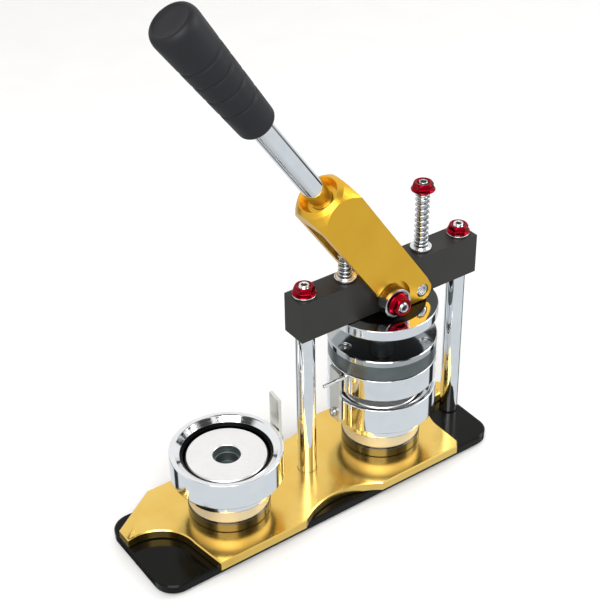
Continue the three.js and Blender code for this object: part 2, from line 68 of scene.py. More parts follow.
# Points in millimetres and faces become a closed mesh that rides on a body and stands for CAD nodes.
def addMesh(name, points, faces, body, material, replaced=(), smooth=True):
    mesh = bpy.data.meshes.new(name)
    mesh.from_pydata((points * mm).tolist(), [], faces.tolist())
    bm = bmesh.new()
    bm.from_mesh(mesh)
    bmesh.ops.remove_doubles(bm, verts=bm.verts, dist=1e-7)
    if bm.calc_volume(signed=True) < 0:
        bmesh.ops.reverse_faces(bm, faces=bm.faces)
    bm.to_mesh(mesh)
    bm.free()
    mesh.polygons.foreach_set("use_smooth", np.full(len(mesh.polygons), smooth))
    mesh.update()
    piece = bpy.data.objects.new(name, mesh)
    bpy.context.scene.collection.objects.link(piece)
    mesh.materials.append(material)
    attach(piece, body)
    if replaced:
        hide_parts(*replaced)
    return piece


# Quads between neighbours on a grid of rows by columns, joined at the ends where a direction wraps.
def gridFaces(rows, columns, wrapRows, wrapColumns):
    r = np.arange(rows if wrapRows else rows - 1)
    c = np.arange(columns if wrapColumns else columns - 1)
    r, c = np.meshgrid(r, c, indexing="ij")
    nextR, nextC = (r + 1) % rows, (c + 1) % columns
    corners = [r * columns + c, nextR * columns + c, nextR * columns + nextC, r * columns + nextC]
    return np.stack(corners, -1).reshape(-1, 4)


# Each corner of a profile becomes a quadratic curve: (1-t)^2 times a point before it, plus 2t(1-t) times
# the corner, plus t^2 times a point after it. One more point on either side keeps the flats flat.
def softened(corners, radius, steps=4):
    corners = np.array(corners, float)
    if steps == 0:
        return corners
    before = corners[:-2] - corners[1:-1]
    after = corners[2:] - corners[1:-1]
    reachBefore = np.linalg.norm(before, axis=1, keepdims=True)
    reachAfter = np.linalg.norm(after, axis=1, keepdims=True)
    near = np.minimum(radius, 0.3 * np.minimum(reachBefore, reachAfter))
    t = np.linspace(0, 1, steps)[None, :, None]
    start = (corners[1:-1] + before / reachBefore * near)[:, None]
    end = (corners[1:-1] + after / reachAfter * near)[:, None]
    curve = (1 - t) ** 2 * start + 2 * t * (1 - t) * corners[1:-1][:, None] + t ** 2 * end
    guardIn = (corners[1:-1] + before / reachBefore * near * 1.5)[:, None]
    guardOut = (corners[1:-1] + after / reachAfter * near * 1.5)[:, None]
    bends = np.concatenate([guardIn, curve, guardOut], 1).reshape(-1, corners.shape[1])
    return np.vstack([corners[:1], bends, corners[-1:]])


# A profile that closes on itself, softened at every corner, its first one included.
def ringProfile(corners, radius, steps=4):
    loop = [corners[-1]] + list(corners) + [corners[0]]
    return softened(loop, radius, steps)[1:-1]


# A stretch of constant radius with points at an even spacing, for a thread or a hexagon.
def straight(radius, low, high, spacing, **extra):
    heights = np.linspace(low, high, max(2, int(round((high - low) / spacing)) + 1))
    return [dict(r=radius, z=height, **extra) for height in heights]


# Radius, height, share of hexagon, largest radius and thread depth of each profile point.
def columnsOf(profile):
    if isinstance(profile, np.ndarray):
        blank = np.zeros(len(profile))
        return profile[:, 0], profile[:, 1], blank, blank + 1e3, blank
    keys = (("r", 0), ("z", 0), ("hexagon", 0), ("crown", 1e3), ("thread", 0))
    return [np.array([point.get(key, usual) for point in profile], float) for key, usual in keys]


# Three unit directions whose last is the axis, as columns.
def basisFor(axis):
    w = np.array(axis, float) / np.linalg.norm(axis)
    side = np.array([0, 1, 0]) if abs(w[1]) < 0.9 else np.array([1, 0, 0])
    u = np.cross(side, w)
    u /= np.linalg.norm(u)
    return np.stack([u, np.cross(w, u), w], 1)


# A profile carried round an axis. Radius = profile radius, divided by the cosine of the angle to the middle
# of the nearest flat where it is a hexagon, held under the crown's radius, less the thread depth times a
# triangle wave that climbs one pitch a turn.
def turned(name, profile, centre, body, material, replaced=(), axis=(0, 0, 1), steps=128, pitch=1.25,
           closed=False):
    r, z, hexagon, crown, thread = [column[None, :] for column in columnsOf(profile)]
    theta = np.linspace(0, 2 * np.pi, steps, endpoint=False)[:, None]
    fromFlat = (theta + np.pi / 6) % (np.pi / 3) - np.pi / 6
    radius = np.minimum(r * (1 - hexagon + hexagon / np.cos(fromFlat)), crown)
    phase = (z / pitch + theta / (2 * np.pi)) % 1
    radius = radius - thread * (1 - np.abs(2 * phase - 1))
    local = np.stack([radius * np.cos(theta), radius * np.sin(theta), z + 0 * theta], -1)
    points = local.reshape(-1, 3) @ basisFor(axis).T + np.array(centre)
    faces = gridFaces(steps, z.shape[1], True, closed)
    return addMesh(name, points, faces, body, material, replaced)


# A round section carried along a helix: height grows evenly with angle, except that the first and last
# three quarters of a turn lie flat.
def springCoil(name, centre, low, high, meanRadius, wireRadius, turns, body, material, replaced):
    along = np.linspace(0, 1, int(turns * 40))[:, None]
    around = np.linspace(0, 2 * np.pi, 12, endpoint=False)[None, :]
    angle = 2 * np.pi * turns * along
    flat = 0.75 / turns
    rise = np.clip((along - flat) / (1 - 2 * flat), 0, 1)
    rise = 0.94 * (rise * rise * (3 - 2 * rise) * 0.25 + rise * 0.75) + 0.06 * along
    height = low + wireRadius + rise * (high - low - 2 * wireRadius)
    reach = meanRadius + wireRadius * np.cos(around)
    grid = np.stack([reach * np.cos(angle), reach * np.sin(angle), height + wireRadius * np.sin(around)], -1)
    rows, columns = grid.shape[:2]
    points = grid.reshape(-1, 3) + np.array([centre[0], centre[1], 0])
    ends = np.stack([points[:columns].mean(0), points[-columns:].mean(0)])
    ring = np.arange(columns)
    onward = (ring + 1) % columns
    first = np.stack([np.full(columns, rows * columns), onward, ring, ring], 1)
    final = (rows - 1) * columns
    last = np.stack([np.full(columns, rows * columns + 1), final + ring, final + onward, final + onward], 1)
    sides = gridFaces(rows, columns, False, True).tolist()
    caps = [face[:3] for face in first.tolist()] + [face[:3] for face in last.tolist()]
    everything = np.empty(len(sides) + len(caps), object)
    everything[:] = sides + caps
    piece = addMesh(name, np.vstack([points, ends]), everything, body, material, replaced)
    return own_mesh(piece)


# A copy of a CAD node with its triangles merged. Faces that meet at more than the crease angle keep a crisp
# line between them, and where an edge width is given, edges over 28 degrees are rounded to it.
def finished(node, name, body, material, edge=0.0, segments=3, crease=20):
    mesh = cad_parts[node].data.copy()
    mesh.name = name
    bm = bmesh.new()
    bm.from_mesh(mesh)
    bmesh.ops.remove_doubles(bm, verts=bm.verts, dist=1e-6)
    bmesh.ops.dissolve_limit(bm, angle_limit=np.radians(0.5), verts=bm.verts, edges=bm.edges)
    bm.to_mesh(mesh)
    bm.free()
    mesh.polygons.foreach_set("use_smooth", np.full(len(mesh.polygons), True))
    mesh.set_sharp_from_angle(angle=np.radians(crease))
    mesh.materials.clear()
    mesh.materials.append(material)
    piece = bpy.data.objects.new(name, mesh)
    bpy.context.scene.collection.objects.link(piece)
    if edge:
        bevel = piece.modifiers.new("roundedEdges", "BEVEL")
        bevel.width = edge * mm
        bevel.segments = segments
        bevel.limit_method = "ANGLE"
        bevel.angle_limit = np.radians(28)
        bevel.use_clamp_overlap = True
        bevel.harden_normals = True
    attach(piece, body)
    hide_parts(node)
    return piece


# sRGB hex to linear: (c / 255 + 0.055) / 1.055 to the power 2.4, or c / 255 / 12.92 when dark
def toLinear(hexColour):
    parts = np.array([int(hexColour[i:i + 2], 16) for i in (1, 3, 5)]) / 255
    linear = np.where(parts > 0.04045, ((parts + 0.055) / 1.055) ** 2.4, parts / 12.92)
    return (*linear.tolist(), 1.0)


# one node: settings are its own properties, inputs are values or sockets to read, and outputs name the
# sockets it feeds
def addNode(tree, kind, inputs=None, outputs=None, **settings):
    node = tree.nodes.new(kind)
    for key, value in settings.items():
        setattr(node, key, value)
    for key, value in (inputs or {}).items():
        if isinstance(value, bpy.types.NodeSocket):
            tree.links.new(value, node.inputs[key])
        else:
            node.inputs[key].default_value = value
    for key, target in (outputs or {}).items():
        tree.links.new(node.outputs[key], target)
    return node


# a new material with its shader's constants set, and the object's own coordinates to lay patterns by
def startMaterial(name, **constants):
    material = bpy.data.materials.new(name)
    material.use_nodes = True
    tree = material.node_tree
    shader = tree.nodes["Principled BSDF"]
    for key, value in constants.items():
        shader.inputs[key.replace("_", " ")].default_value = value
    place = addNode(tree, "ShaderNodeTexCoord").outputs["Object"]
    return material, tree, shader.inputs, place


# how far each point stands from the upright axis through a centre
def reachFrom(tree, place, centre):
    about = addNode(tree, "ShaderNodeMapping", {"Vector": place, "Scale": (1, 1, 0),
                                                "Location": (-centre[0] * mm, -centre[1] * mm, 0)})
    return addNode(tree, "ShaderNodeVectorMath", {0: about.outputs["Vector"]},
                   operation="LENGTH").outputs["Value"]


# dyed anodised aluminium, brushed along one direction: a warm mirror with its highlights drawn out, a little
# deeper and lighter in broad clouds where the dye took differently
def goldAnodised(name, look, direction):
    material, tree, surface, place = startMaterial(name, Metallic=1.0, Roughness=look["roughness"])
    clouds = addNode(tree, "ShaderNodeTexNoise", {"Vector": place, "Scale": 1 / (look["cloud"] * mm),
                                                  "Detail": 3.0})
    across, along = 1 / (look["brushWidth"] * mm), 1 / (look["brushLength"] * mm)
    turn = Matrix(basisFor(direction).T.tolist()).to_euler()
    drawn = addNode(tree, "ShaderNodeMapping", {"Vector": place, "Rotation": turn,
                                                "Scale": (across, across, along)})
    brush = addNode(tree, "ShaderNodeTexNoise", {"Vector": drawn.outputs["Vector"], "Scale": 1.0,
                                                 "Detail": 3.0})
    both = addNode(tree, "ShaderNodeMix", {"Factor": look["brushShare"], "A": clouds.outputs["Fac"],
                                           "B": brush.outputs["Fac"]})
    addNode(tree, "ShaderNodeMix", {"Factor": both.outputs["Result"], "A": toLinear(look["deep"]),
                                    "B": toLinear(look["pale"])}, {"Result": surface["Base Color"]},
            data_type="RGBA")
    addNode(tree, "ShaderNodeMapRange", {
        "Value": brush.outputs["Fac"], "From Min": noiseLow, "From Max": noiseHigh,
        "To Min": look["roughness"] - 0.03, "To Max": look["roughness"] + 0.04},
        {"Result": surface["Roughness"]})
    addNode(tree, "ShaderNodeBump", {"Height": brush.outputs["Fac"], "Distance": look["brushDepth"] * mm,
                                     "Strength": 0.3}, {"Normal": surface["Normal"]})
    return material


# red dyed aluminium, tumbled before dyeing: nearly black red in the shade, pink where it catches a light
def redAnodised(look):
    material, tree, surface, place = startMaterial("redAnodised", Metallic=1.0)
    dye = addNode(tree, "ShaderNodeTexNoise", {"Vector": place, "Scale": 1 / (look["cloud"] * mm),
                                               "Detail": 2.0})
    grit = addNode(tree, "ShaderNodeTexNoise", {"Vector": place, "Scale": 1 / (look["grit"] * mm),
                                                "Detail": 2.0})
    addNode(tree, "ShaderNodeMix", {"Factor": dye.outputs["Fac"], "A": toLinear(look["deep"]),
                                    "B": toLinear(look["pale"])}, {"Result": surface["Base Color"]},
            data_type="RGBA")
    addNode(tree, "ShaderNodeMapRange", {"Value": grit.outputs["Fac"], "To Min": 0.12, "To Max": 0.3},
            {"Result": surface["Roughness"]})
    addNode(tree, "ShaderNodeBump", {"Height": grit.outputs["Fac"], "Distance": 0.01 * mm, "Strength": 0.3},
            {"Normal": surface["Normal"]})
    return material


# chrome plate over turned and polished steel: it mirrors all round it in clean upright bands, which the last
# of the polishing swell makes waver, with hairlines left by cloths along its length
def chromePlate(look):
    material, tree, surface, place = startMaterial("chromePlate", Metallic=1.0)
    swell = addNode(tree, "ShaderNodeTexNoise", {"Vector": place, "Scale": 1 / (look["swell"] * mm),
                                                 "Detail": 1.0})
    lengthwise = (1 / (look["hairline"] * mm), 1 / (look["hairline"] * mm), 1 / (look["hairLength"] * mm))
    drawn = addNode(tree, "ShaderNodeMapping", {"Vector": place, "Scale": lengthwise})
    hairs = addNode(tree, "ShaderNodeTexNoise", {"Vector": drawn.outputs["Vector"], "Scale": 1.0,
                                                 "Detail": 2.0})
    addNode(tree, "ShaderNodeMix", {"Factor": swell.outputs["Fac"], "A": toLinear(look["deep"]),
                                    "B": toLinear(look["pale"])}, {"Result": surface["Base Color"]},
            data_type="RGBA")
    addNode(tree, "ShaderNodeMapRange", {
        "Value": hairs.outputs["Fac"], "From Min": noiseLow, "From Max": noiseHigh,
        "To Min": look["roughness"] - 0.02, "To Max": look["roughness"] + 0.03},
        {"Result": surface["Roughness"]})
    addNode(tree, "ShaderNodeBump", {"Height": swell.outputs["Fac"], "Distance": 0.03 * mm, "Strength": 0.25},
            {"Normal": surface["Normal"]})
    return material


# steel faced on a lathe about a centre: fine rings that spread each highlight into a fan. Inside the bore
# radius the faced colour gives way to a painted shade set in each look
def turnedSteel(name, look, centre):
    material, tree, surface, place = startMaterial(name, Metallic=1.0)
    reach = reachFrom(tree, place, centre)
    spaced = addNode(tree, "ShaderNodeMath", {0: reach, 1: 1 / (look["ring"] * mm)}, operation="MULTIPLY")
    rings = addNode(tree, "ShaderNodeTexNoise", {"W": spaced.outputs["Value"], "Scale": 1.0, "Detail": 2.0},
                    noise_dimensions="1D")
    stain = addNode(tree, "ShaderNodeTexNoise", {"Vector": place, "Scale": 1 / (look["stain"] * mm),
                                                 "Detail": 2.0})
    faced = addNode(tree, "ShaderNodeMix", {"Factor": stain.outputs["Fac"], "A": toLinear(look["deep"]),
                                            "B": toLinear(look["pale"])}, data_type="RGBA")
    # painted shade: inside the bore radius the colour turns to the look's painted shade
    outside = addNode(tree, "ShaderNodeMapRange", {"Value": reach, "From Min": look["bore"] * mm,
                                                   "From Max": (look["bore"] + 0.2) * mm})
    addNode(tree, "ShaderNodeMix", {"Factor": outside.outputs["Result"], "A": toLinear(look["borePaintedShade"]),
                                    "B": faced.outputs["Result"]}, {"Result": surface["Base Color"]},
            data_type="RGBA")
    facedRoughness = addNode(tree, "ShaderNodeMapRange", {
        "Value": rings.outputs["Fac"], "From Min": noiseLow, "From Max": noiseHigh,
        "To Min": look["roughness"] - 0.04, "To Max": look["roughness"] + 0.07})
    addNode(tree, "ShaderNodeMix", {"Factor": outside.outputs["Result"], "A": look["boreRoughness"],
                                    "B": facedRoughness.outputs["Result"]}, {"Result": surface["Roughness"]})
    addNode(tree, "ShaderNodeBump", {"Height": rings.outputs["Fac"], "Distance": look["ringDepth"] * mm,
                                     "Strength": 0.3}, {"Normal": surface["Normal"]})
    return material


# die steel: a satin neck the colour of cream above a polished foot band painted nearly black as a painted
# dark reflection, and a pocket painted dull grey as painted shade
def dieSteel(name, look, side):
    material, tree, surface, place = startMaterial(name, Metallic=1.0)
    reach = reachFrom(tree, place, centreOf(side + "_anvil"))
    footTop = boxOf(side + "_die_body")[0][2] + look["footTop"]
    parts = addNode(tree, "ShaderNodeSeparateXYZ", {"Vector": place})
    stain = addNode(tree, "ShaderNodeTexNoise", {"Vector": place, "Scale": 1 / (look["stain"] * mm),
                                                 "Detail": 3.0})
    neck = addNode(tree, "ShaderNodeMix", {"Factor": stain.outputs["Fac"], "A": toLinear(look["neckDeep"]),
                                           "B": toLinear(look["neck"])}, data_type="RGBA")
    # painted reflection: below the foot's top the colour turns to the foot's painted dark reflection
    onNeck = addNode(tree, "ShaderNodeMapRange",
                     {"Value": parts.outputs["Z"], "From Min": (footTop - 0.1) * mm,
                      "From Max": (footTop + 0.1) * mm})
    # painted shade: inside the pocket radius the colour turns to the pocket's painted shade
    outside = addNode(tree, "ShaderNodeMapRange", {"Value": reach, "From Min": look["pocket"] * mm,
                                                   "From Max": (look["pocket"] + 0.2) * mm})
    wall = addNode(tree, "ShaderNodeMix", {"Factor": onNeck.outputs["Result"], "A": toLinear(look["foot"]),
                                           "B": neck.outputs["Result"]}, data_type="RGBA")
    addNode(tree, "ShaderNodeMix", {"Factor": outside.outputs["Result"], "A": toLinear(look["pocketPaintedShade"]),
                                    "B": wall.outputs["Result"]}, {"Result": surface["Base Color"]},
            data_type="RGBA")
    wallRoughness = addNode(tree, "ShaderNodeMix", {"Factor": onNeck.outputs["Result"],
                                                    "A": look["footRoughness"], "B": look["neckRoughness"]})
    addNode(tree, "ShaderNodeMix", {"Factor": outside.outputs["Result"], "A": look["pocketRoughness"],
                                    "B": wallRoughness.outputs["Result"]}, {"Result": surface["Roughness"]})
    return material


# drawn spring steel, bright and a little streaked by the die it came through
def drawnWire(look):
    material, tree, surface, place = startMaterial("drawnWire", Metallic=1.0)
    streaks = addNode(tree, "ShaderNodeTexNoise", {"Vector": place, "Scale": 1 / (look["streak"] * mm),
                                                   "Detail": 2.0})
    addNode(tree, "ShaderNodeMix", {"Factor": streaks.outputs["Fac"], "A": toLinear(look["deep"]),
                                    "B": toLinear(look["pale"])}, {"Result": surface["Base Color"]},
            data_type="RGBA")
    addNode(tree, "ShaderNodeMapRange", {"Value": streaks.outputs["Fac"], "To Min": 0.12, "To Max": 0.28},
            {"Result": surface["Roughness"]})
    return material


# black coating: paint, moulded plastic or rubber, told apart by how wide its sheen is and how coarse its
# skin. Clouds of dust and handling shift its shade, and the skin's bumps have a real height in millimetres
def blackCoating(name, look):
    material, tree, surface, place = startMaterial(name, Specular_IOR_Level=look["gloss"])
    dust = addNode(tree, "ShaderNodeTexNoise", {"Vector": place, "Scale": 1 / (look["dust"] * mm),
                                                "Detail": 4.0})
    skin = addNode(tree, "ShaderNodeTexNoise", {"Vector": place, "Scale": 1 / (look["skin"] * mm),
                                                "Detail": 2.0})
    addNode(tree, "ShaderNodeMix", {"Factor": dust.outputs["Fac"], "A": toLinear(look["deep"]),
                                    "B": toLinear(look["pale"])}, {"Result": surface["Base Color"]},
            data_type="RGBA")
    addNode(tree, "ShaderNodeMapRange", {
        "Value": dust.outputs["Fac"], "From Min": noiseLow, "From Max": noiseHigh,
        "To Min": look["roughness"] - 0.05, "To Max": look["roughness"] + 0.07},
        {"Result": surface["Roughness"]})
    addNode(tree, "ShaderNodeBump", {"Height": skin.outputs["Fac"], "Distance": look["skinHeight"] * mm,
                                     "Strength": 0.5}, {"Normal": surface["Normal"]})
    return material


leverTilt = np.radians(34.74)  # how far the resting lever leans from upright
leverAxis = np.array([-np.sin(leverTilt), 0, np.cos(leverTilt)])

# colours and roughnesses, with pattern sizes in millimetres. Inside its bore radius a turned steel takes its
# painted shade: dull grey in the anvils' holes, black inside the collars, and nearly black on the top of the
# disc, where it stands for a dark reflection
plateLook = {"deep": "#E2B04A", "pale": "#F8D980", "roughness": 0.19, "cloud": 34, "brushWidth": 0.35,
             "brushLength": 26, "brushDepth": 0.0015, "brushShare": 0.15}
leverLook = {"deep": "#DEA62E", "pale": "#EFBE44", "roughness": 0.34, "cloud": 30, "brushWidth": 0.3,
             "brushLength": 9, "brushDepth": 0.0008, "brushShare": 0.15}
redLook = {"deep": "#6C000D", "pale": "#A80B22", "cloud": 5, "grit": 0.5}
chromeLook = {"deep": "#DCDEE0", "pale": "#ECEDEE", "roughness": 0.05, "swell": 11, "hairline": 0.25,
              "hairLength": 9}
# the anvils' bore colour is painted shade: dull grey inside their holes
anvilLook = {"deep": "#EDEBE9", "pale": "#FAF9F8", "roughness": 0.3, "ring": 0.5, "ringDepth": 0.02,
             "stain": 14, "bore": 9.7, "borePaintedShade": "#8F9896", "boreRoughness": 0.45}
headLook = {"deep": "#A6A8A8", "pale": "#C2C4C4", "roughness": 0.16, "ring": 0.7, "ringDepth": 0.008,
            "stain": 14, "bore": 0, "borePaintedShade": "#8F9896", "boreRoughness": 0.45}
screwLook = dict(headLook, deep="#9A9C9D", pale="#CACCCD", roughness=0.2)
flangeLook = dict(headLook, roughness=0.09, ringDepth=0.003)
# the band under the upper flange: brushed steel, painted darker than the head as painted shade under the flange
bandPaintedShadeLook = dict(headLook, deep="#5C6161", pale="#7A8180", roughness=0.3)
tabLook = dict(anvilLook, deep="#D9D6CE", pale="#F0EDE4", bore=0)
# the collars' bore colour is painted shade: black down inside the collars
collarLook = dict(anvilLook, deep="#E2E4E6", pale="#F0F1F2", roughness=0.08, ringDepth=0.0015, bore=32.6,
                  borePaintedShade="#101010")
# the disc's top inside its bore radius is painted nearly black, a painted dark reflection
discLook = dict(anvilLook, deep="#DCDEE0", pale="#ECEDEE", roughness=0.08, ringDepth=0.003, bore=30.4,
                borePaintedShade="#2C2D2E", boreRoughness=0.3)
# the foot colour is a painted dark reflection, and the pocket colour a painted shade
dieLook = {"foot": "#55524C", "footRoughness": 0.07, "footTop": 8.1, "neck": "#F4EEDC", "neckDeep": "#E2DAC2",
           "neckRoughness": 0.62, "pocket": 12.5, "pocketPaintedShade": "#7E8786", "pocketRoughness": 0.5,
           "stain": 14}
wireLook = {"deep": "#A4A8AA", "pale": "#DCDFE1", "streak": 0.8}
enamelLook = {"deep": "#060605", "pale": "#11110E", "roughness": 0.12, "gloss": 0.12, "dust": 40, "skin": 2.2,
              "skinHeight": 0.012}
powderLook = {"deep": "#1B1A18", "pale": "#292824", "roughness": 0.5, "gloss": 0.35, "dust": 18, "skin": 0.6,
              "skinHeight": 0.03}
gripLook = {"deep": "#101013", "pale": "#1A1A1E", "roughness": 0.5, "gloss": 0.3, "dust": 25, "skin": 0.5,
            "skinHeight": 0.03}
rubberLook = {"deep": "#0E0E0E", "pale": "#1A1A19", "roughness": 0.75, "gloss": 0.3, "dust": 3, "skin": 1.2,
              "skinHeight": 0.05}

finish = {
    "plateGold": goldAnodised("goldAnodisedPlate", plateLook, (1, 0, 0)),
    "leverGold": goldAnodised("goldAnodisedLever", leverLook, leverAxis),
    "red": redAnodised(redLook),
    "chrome": chromePlate(chromeLook),
    "wire": drawnWire(wireLook),
    "enamel": blackCoating("blackEnamel", enamelLook),  # stoved gloss paint: deep, wet black
    "powderCoat": blackCoating("blackPowderCoat", powderLook),  # baked powder: charcoal with a fine pebble
    "grip": blackCoating("mouldedGrip", gripLook),  # moulded plastic from an eroded tool: a broad dull sheen
    "rubber": blackCoating("rubberCompound", rubberLook),  # moulded rubber: dull, with a powdery bloom
    "leftAnvil": turnedSteel("turnedSteelLeft", anvilLook, centreOf("left_anvil")),
    "rightAnvil": turnedSteel("turnedSteelRight", anvilLook, centreOf("right_anvil")),
    "headSteel": turnedSteel("turnedSteelHead", headLook, centreOf("press_shaft")),
    "screwSteel": turnedSteel("turnedSteelScrews", screwLook, (0, 0, 0)),
    "flangeSteel": turnedSteel("turnedSteelFlange", flangeLook, centreOf("press_shaft")),
    "bandSteel": turnedSteel("brushedSteelBandPaintedShade", bandPaintedShadeLook, centreOf("press_shaft")),
    "tabSteel": turnedSteel("satinSteelTabs", tabLook, (0, 0, 0)),
    "discSteel": turnedSteel("chromedSteelDisc", discLook, centreOf("press_shaft")),
    "leftCollar": turnedSteel("chromedSteelLeft", collarLook, centreOf("left_anvil")),
    "rightCollar": turnedSteel("chromedSteelRight", collarLook, centreOf("right_anvil")),
    "leftDie": dieSteel("dieSteelLeft", dieLook, "left"),
    "rightDie": dieSteel("dieSteelRight", dieLook, "right"),
    "socket": blackCoating("paintedSocketShade", powderLook),  # painted shade: a dark coating down inside each socket, in place of its shadow
}
print("materials made")


base = {"footDome": 0.5, "beamEdge": 0.35}

finished("base_plate", "basePlate", "base", finish["enamel"])
finished("swivel_plate", "swivelPlate", "swivel", finish["plateGold"])
finished("crossbeam", "crossbeam", "base", finish["powderCoat"], base["beamEdge"])


def rubberFoot(node):
    low, high = boxOf(node)
    radius, middle = (high[0] - low[0]) / 2, (low + high) / 2
    corners = [(0, low[2]), (radius - 1.2, low[2]), (radius, low[2] + 0.9), (radius, high[2]), (0, high[2])]
    turned(node + "Turned", softened(corners, base["footDome"]), (middle[0], middle[1], 0), "base",
           finish["rubber"], [node], steps=64)


for corner in ("front_left", "front_right", "back_left", "back_right"):
    rubberFoot(corner + "_foot")

pillar = {"chamfer": 0.9, "thread": 0.62, "pitch": 1.25, "socket": 2.0, "socketDepth": 3.0}


# The threaded end of an 8 mm stud: a thread, a chamfer and a hexagon socket in the top.
def studEnd(radius, low, high, settings):
    depth, socket = settings["thread"], settings["socket"]
    return (straight(radius, low, high - settings["chamfer"], settings["pitch"] / 10,
                     thread=depth) + [dict(r=radius - 0.7, z=high, thread=0.0), dict(r=socket + 0.45, z=high),
                                      dict(r=socket, z=high - 0.25, hexagon=1.0),
                                      dict(r=socket, z=high - settings["socketDepth"], hexagon=1.0),
                                      dict(r=0.0, z=high - settings["socketDepth"] - 0.5)])


# Painted shade inside a hexagon socket: a thin dark cup from just under its mouth to its floor.
def socketShadeLining(name, mouth, axis, socket, body):
    deep, wall, gap = 2.9, 0.12, 0.03
    outer, inner = socket - gap, socket - gap - wall
    profile = [dict(r=0, z=-deep), dict(r=outer, z=-deep, hexagon=1.0), dict(r=outer, z=-0.3, hexagon=1.0),
               dict(r=inner, z=-0.3, hexagon=1.0), dict(r=inner, z=wall - deep, hexagon=1.0),
               dict(r=0, z=wall - deep)]
    turned(name, profile, mouth, body, finish["socket"], axis=axis, steps=48)


def pillarShape(side):
    low, high = boxOf(side + "_pillar")
    beamLow, beamHigh = boxOf("crossbeam")
    radius, middle = (high[0] - low[0]) / 2, (low + high) / 2
    shoulder = beamLow[2] - 0.35
    profile = [dict(r=0, z=low[2]), dict(r=radius - 0.5, z=low[2]), dict(r=radius, z=low[2] + 0.5)]
    profile += straight(radius, low[2] + 1, shoulder - 1, 20)
    profile += [dict(r=radius, z=shoulder - 0.4), dict(r=radius - 0.4, z=shoulder), dict(r=4, z=shoulder)]
    profile += studEnd(4, beamHigh[2] - 4, high[2], pillar)
    turned(side + "PillarTurned", profile, (middle[0], 0, 0), "base", finish["chrome"],
           [side + "_pillar"], steps=96)
    socketShadeLining(side + "PillarSocketShade", (middle[0], 0, high[2]), (0, 0, 1), pillar["socket"], "base")


nut = {"across": 6.5, "crown": 7.35, "flangeEdge": 0.9, "flangeTop": 2.5, "bore": 4.15}


# A hexagon whose corners are cut by a cone, on a flange that slopes up to it.
def flangeNut(node, name, body, axis=(0, 0, 1), origin=None):
    size = sizeOf(node)
    upright = abs(axis[2]) > 0.9
    height, flange = (size[2], size[0] / 2) if upright else (size[1], size[0] / 2)
    across, bore = nut["across"], nut["bore"]
    profile = [dict(r=bore, z=0.4), dict(r=bore + 0.4, z=0.0), dict(r=flange - 0.5, z=0.0),
               dict(r=flange - 0.1, z=0.15), dict(r=flange, z=0.5), dict(r=flange - 0.12,
                                                                         z=nut["flangeEdge"]),
               dict(r=flange - 0.45, z=nut["flangeEdge"] + 0.15), dict(r=nut["crown"] + 0.1,
                                                                       z=nut["flangeTop"] - 0.5)]
    profile += [dict(r=across, z=z, hexagon=1.0, crown=nut["crown"] + 0.05)
                for z in np.linspace(nut["flangeTop"] - 0.45, height - 1.4, 4)]
    profile += [dict(r=across, z=z, hexagon=1.0, crown=nut["crown"] + 0.05 - (z - height + 1.4) * 0.72)
                for z in np.linspace(height - 1.3, height - 0.15, 7)]
    profile += [dict(r=across - 0.5, z=height), dict(r=bore + 0.7, z=height), dict(r=bore + 0.15,
                                                                                   z=height - 0.4),
                dict(r=bore, z=height - 0.8)]
    if origin is None:
        low, high = boxOf(node)
        middle = (low + high) / 2
        origin = (middle[0], middle[1], low[2]) if upright else (
            middle[0], low[1] if axis[1] > 0 else high[1], middle[2])
    return turned(name, profile, origin, body, finish["red"], [node], axis, 144, closed=True)


def plainWasher(node, name, body):
    low, high = boxOf(node)
    radius, middle = (high[0] - low[0]) / 2, (low + high) / 2
    corners = [(4.3, low[2]), (radius, low[2]), (radius, high[2]), (4.3, high[2])]
    turned(name, ringProfile(corners, 0.35), (middle[0], middle[1], 0), body, finish["chrome"],
           [node], steps=96, closed=True)


for side in ("left", "right"):
    pillarShape(side)
    plainWasher(side + "_beam_washer", side + "BeamWasher", "base")
    flangeNut(side + "_beam_nut", side + "BeamNut", "base")
print("base and gantry made")

die = {
    "edge": 0.7, "rimWidth": 3.0, "coneWidth": 6.0, "bore": 30.6, "coneEnd": 5.1, "webTop": 11.6,
    "webLow": 15.6,
    "webHole": 11.2, "sleeve": 33.0, "sleeveBore": 29.6, "step": 10.1, "anvilHole": 9.65, "bodyBore": 26.0,
    "wallHeight": 24.4, "floor": 3.9, "post": 10.7, "pocket": 8.0, "pocketDepth": 7.8,
    "wire": 1.1, "coil": 20.0, "coilTurns": 4.5, "travel": 11,
    }
tabScrewSize = {"head": 2.2, "shank": 1.5, "socket": 1.25}


# Rim, cone and bore inside, web round the post, stepped skirt below.
def collarShape(side):
    low, high = boxOf(side + "_collar")
    outer, top = (high[1] - low[1]) / 2, high[2]
    webTop, webLow, step = top - die["webTop"], top - die["webLow"], low[2] + die["step"]
    rim, cone = outer - die["rimWidth"], outer - die["rimWidth"] - die["coneWidth"]
    corners = [(die["webHole"], webLow), (die["sleeveBore"], webLow), (die["sleeveBore"], low[2]),
               (die["sleeve"], low[2]), (die["sleeve"], step), (outer, step), (outer, top), (rim, top),
               (cone, top - die["coneEnd"]), (die["bore"], top - die["coneEnd"] - 0.4), (die["bore"], webTop),
               (die["webHole"], webTop)]
    middle = centreOf(side + "_anvil")
    turned(side + "Collar", ringProfile(corners, die["edge"]), (middle[0], 0, 0), side + "_collar_set",
           finish[side + "Collar"], [side + "_collar"], steps=192, closed=True)


# A faced disc with a bevelled rim and a chamfered hole.
def anvilShape(side):
    low, high = boxOf(side + "_anvil")
    radius, top, middle = (high[1] - low[1]) / 2, high[2], centreOf(side + "_anvil")
    hole = die["anvilHole"]
    corners = [(hole, low[2]), (radius, low[2]), (radius, top - 1.0), (radius - 0.9, top), (hole + 0.7, top),
               (hole, top - 0.7)]
    turned(side + "Anvil", ringProfile(corners, 0.25), (middle[0], 0, 0), "swivel", finish[side + "Anvil"],
           [side + "_anvil"], steps=160, closed=True)


